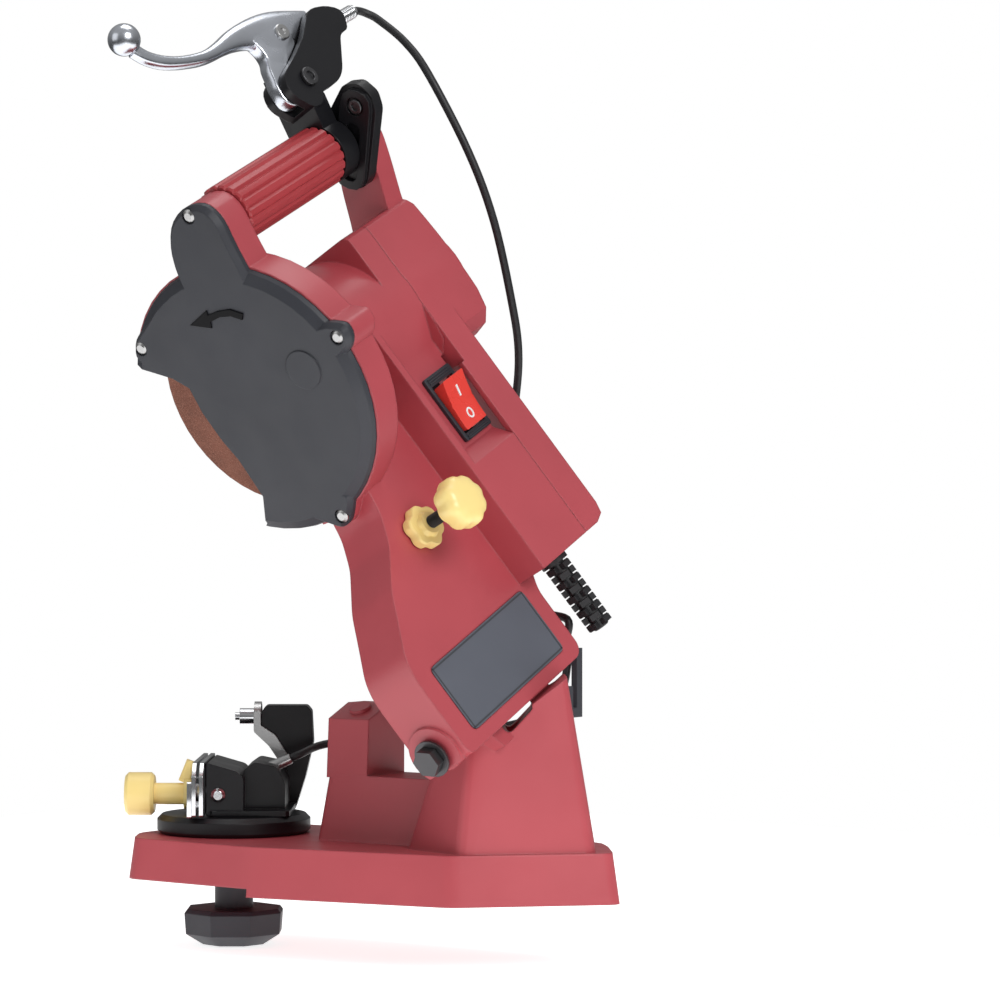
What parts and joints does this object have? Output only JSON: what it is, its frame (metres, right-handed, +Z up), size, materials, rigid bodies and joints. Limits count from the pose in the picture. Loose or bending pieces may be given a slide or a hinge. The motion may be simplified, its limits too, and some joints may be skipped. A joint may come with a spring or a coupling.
{
  "type": "electric chainsaw sharpener",
  "caption": "Bench-edge electric chainsaw sharpener: tilted grinding head with guarded disc and brake-lever grip, hinged on a pillar above a swivelling chain vise.",
  "frame": {"origin": "on the flat underside of the base casting, which rests on the bench, in line with its swivelling vise", "axes": "+Z up from the bench, +Y from the operator's side towards the pillar, +X to the operator's right"},
  "size_m": [0.2943, 0.3341, 0.5836],
  "materials": {
    "red_paint": "satin red paint on die-cast aluminium",
    "red_grip": "ribbed satin plastic",
    "black_plastic": "fine grained black plastic",
    "rubber": "matte black rubber",
    "yellow_plastic": "satin yellow plastic",
    "steel": "zinc-plated steel",
    "chrome": "bright chrome plating",
    "polished_aluminium": "polished cast aluminium",
    "abrasive": "bonded brown abrasive",
    "grey_plate": "bare grey foil plate",
    "winding": "lacquered copper winding",
    "switch_red": "translucent red plastic"
  },
  "bodies": {
    "base": {"base_casting": "red_paint", "cable_guide": "black_plastic", "guide_screw": "steel", "brake_cable_lower": "rubber", "hinge_bolt": "steel", "hinge_washer": "steel", "hinge_nut": "steel"},
    "head": {"head_casting": "red_paint", "motor_cover": "red_paint", "disc_guard": "black_plastic", "guard_screw_1": "steel", "guard_screw_2": "steel", "guard_screw_3": "steel", "guard_screw_4": "steel", "stator": "winding", "front_bearing": "steel", "rear_bearing": "steel", "hand_grip": "red_grip", "handle_rod": "steel", "handle_clamp": "black_plastic", "clamp_screw": "steel", "brake_perch": "black_plastic", "lever_pivot": "steel", "barrel_adjuster": "chrome", "brake_cable_upper": "rubber", "switch_housing": "black_plastic", "rating_plate": "grey_plate", "strain_relief": "rubber"},
    "wheel": {"grinding_disc": "abrasive", "inner_flange": "steel", "outer_flange": "steel", "arbor_nut": "steel", "motor_shaft": "steel", "rotor": "steel", "fan": "black_plastic"},
    "lever": {"brake_lever": "polished_aluminium"},
    "switch": {"rocker": "switch_red"},
    "depth_knob": {"depth_knob": "yellow_plastic"},
    "depth_screw": {"depth_screw": "steel"},
    "depth_nut": {"depth_nut": "yellow_plastic"},
    "turntable": {"turntable": "black_plastic", "swivel_bolt": "steel", "vise_body": "black_plastic", "dome_screw": "chrome", "cable_ferrule": "steel", "stop_pin": "chrome", "fixed_rail": "chrome", "rail_screw_1": "steel", "rail_screw_2": "steel", "jaw_screw": "steel"},
    "lock_knob": {"lock_knob": "black_plastic"},
    "moving_jaw": {"moving_rail": "chrome", "jaw_bracket": "chrome"},
    "jaw_adjuster": {"jaw_adjuster": "yellow_plastic"},
    "jaw_wing": {"jaw_lock_wing": "yellow_plastic"},
    "stop_pawl": {"stop_pawl": "steel"}
  },
  "joints": [
    {"name": "head_pivot", "type": "hinge", "parent": "base", "child": "head", "pos_m": [0.02364, 0.02569, 0.11295], "axis": [0.9063, 0, -0.4226], "range_deg": [0, 55], "stiffness_Nm_per_rad": 43, "springref_deg": -13.06, "deforming": ["brake_cable_upper"]},
    {"name": "disc_spin", "type": "hinge", "parent": "head", "child": "wheel", "pos_m": [0.0945, -0.079, 0.30276], "axis": [-0.9063, 0, 0.4226], "continuous": true},
    {"name": "brake_lever_pull", "type": "hinge", "parent": "head", "child": "lever", "pos_m": [0.05004, -0.09144, 0.48664], "axis": [0.1945, 0.8878, 0.4171], "range_deg": [0, 26], "stiffness_Nm_per_rad": 1.5, "springref_deg": -17.19},
    {"name": "switch_rock", "type": "hinge", "parent": "head", "child": "switch", "pos_m": [-0.00473, -0.01233, 0.29582], "axis": [-0.9063, 0, 0.4226], "range_deg": [0, 10]},
    {"name": "depth_turn", "type": "hinge", "parent": "depth_screw", "child": "depth_knob", "pos_m": [0.04552, -0.0047, 0.2202], "axis": [0.1945, 0.8878, 0.4171], "range_deg": [0, 2160]},
    {"name": "depth_travel", "type": "slide", "parent": "head", "child": "depth_screw", "axis": [0.1945, 0.8878, 0.4171], "range_m": [0, 0.0075]},
    {"name": "depth_lock", "type": "hinge", "parent": "head", "child": "depth_nut", "pos_m": [0.04552, -0.0047, 0.2202], "axis": [0.1945, 0.8878, 0.4171], "continuous": true},
    {"name": "vise_swivel", "type": "hinge", "parent": "base", "child": "turntable", "pos_m": [0, -0.18, 0.03], "axis": [0, 0, 1], "range_deg": [-69, 0], "deforming": ["brake_cable_lower"]},
    {"name": "lock_knob_turn", "type": "hinge", "parent": "turntable", "child": "lock_knob", "pos_m": [0, -0.18, 0], "axis": [0, 0, 1], "continuous": true},
    {"name": "jaw_close", "type": "slide", "parent": "turntable", "child": "moving_jaw", "axis": [-0.5635, 0.8261, 0], "range_m": [0, 0.0012]},
    {"name": "jaw_adjust", "type": "hinge", "parent": "turntable", "child": "jaw_adjuster", "pos_m": [0.01127, -0.19652, 0.054], "axis": [-0.5635, 0.8261, 0], "continuous": true},
    {"name": "jaw_lock", "type": "hinge", "parent": "turntable", "child": "jaw_wing", "pos_m": [0.01127, -0.19652, 0.054], "axis": [-0.5635, 0.8261, 0], "range_deg": [-60, 60]},
    {"name": "pawl_swing", "type": "hinge", "parent": "turntable", "child": "stop_pawl", "pos_m": [-0.03815, -0.1915, 0.1], "axis": [-0.5635, 0.8261, 0], "range_deg": [-50, 0]}
  ],
  "couplings": [
    {"joint": "jaw_close", "follows": "brake_lever_pull", "m_per_rad": 0.0026}
  ]
}
